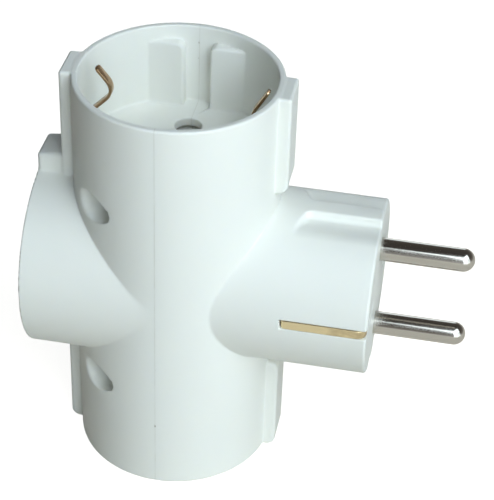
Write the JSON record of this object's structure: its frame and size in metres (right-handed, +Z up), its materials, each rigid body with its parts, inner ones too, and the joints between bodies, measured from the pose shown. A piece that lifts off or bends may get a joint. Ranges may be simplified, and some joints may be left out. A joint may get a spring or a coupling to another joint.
{
  "type": "multi-socket adapter",
  "caption": "White plug-in mains splitter: a vertical tube with an earthed round socket at each end, a side socket, and an earthed two-pin plug.",
  "frame": {"origin": "centre of the plug's flat face, on the plug's axis", "axes": "+X along the plug's pins away from the body, +Z up along the tube towards the top socket, every socket's pin holes in a line along Y"},
  "size_m": [0.0892, 0.0418, 0.0888],
  "materials": {
    "white_plastic": "smooth glossy moulded plastic, faintly cool white",
    "nickel": "nickel-plated turned pins, polished with fine scuffs along them",
    "brass": "stamped brass sheet, satin",
    "bronze": "spring bronze strip, darkened along its edges",
    "zinc_steel": "zinc-plated tapping screws"
  },
  "bodies": {
    "root": {"socket_side_shell": "white_plastic", "plug_side_shell": "white_plastic", "live_pin": "nickel", "neutral_pin": "nickel", "live_busbar": "brass", "neutral_busbar": "brass", "earth_frame": "brass", "plug_earth_strip_front": "brass", "plug_earth_strip_rear": "brass", "top_live_contact": "brass", "top_neutral_contact": "brass", "bottom_live_contact": "brass", "bottom_neutral_contact": "brass", "side_live_contact": "brass", "side_neutral_contact": "brass", "top_earth_clip_left": "bronze", "top_earth_clip_right": "bronze", "bottom_earth_clip_left": "bronze", "bottom_earth_clip_right": "bronze", "side_earth_clip_upper": "bronze", "side_earth_clip_lower": "bronze", "case_screw_upper_front": "zinc_steel", "case_screw_upper_rear": "zinc_steel", "case_screw_lower_front": "zinc_steel", "case_screw_lower_rear": "zinc_steel"}
  },
  "joints": []
}
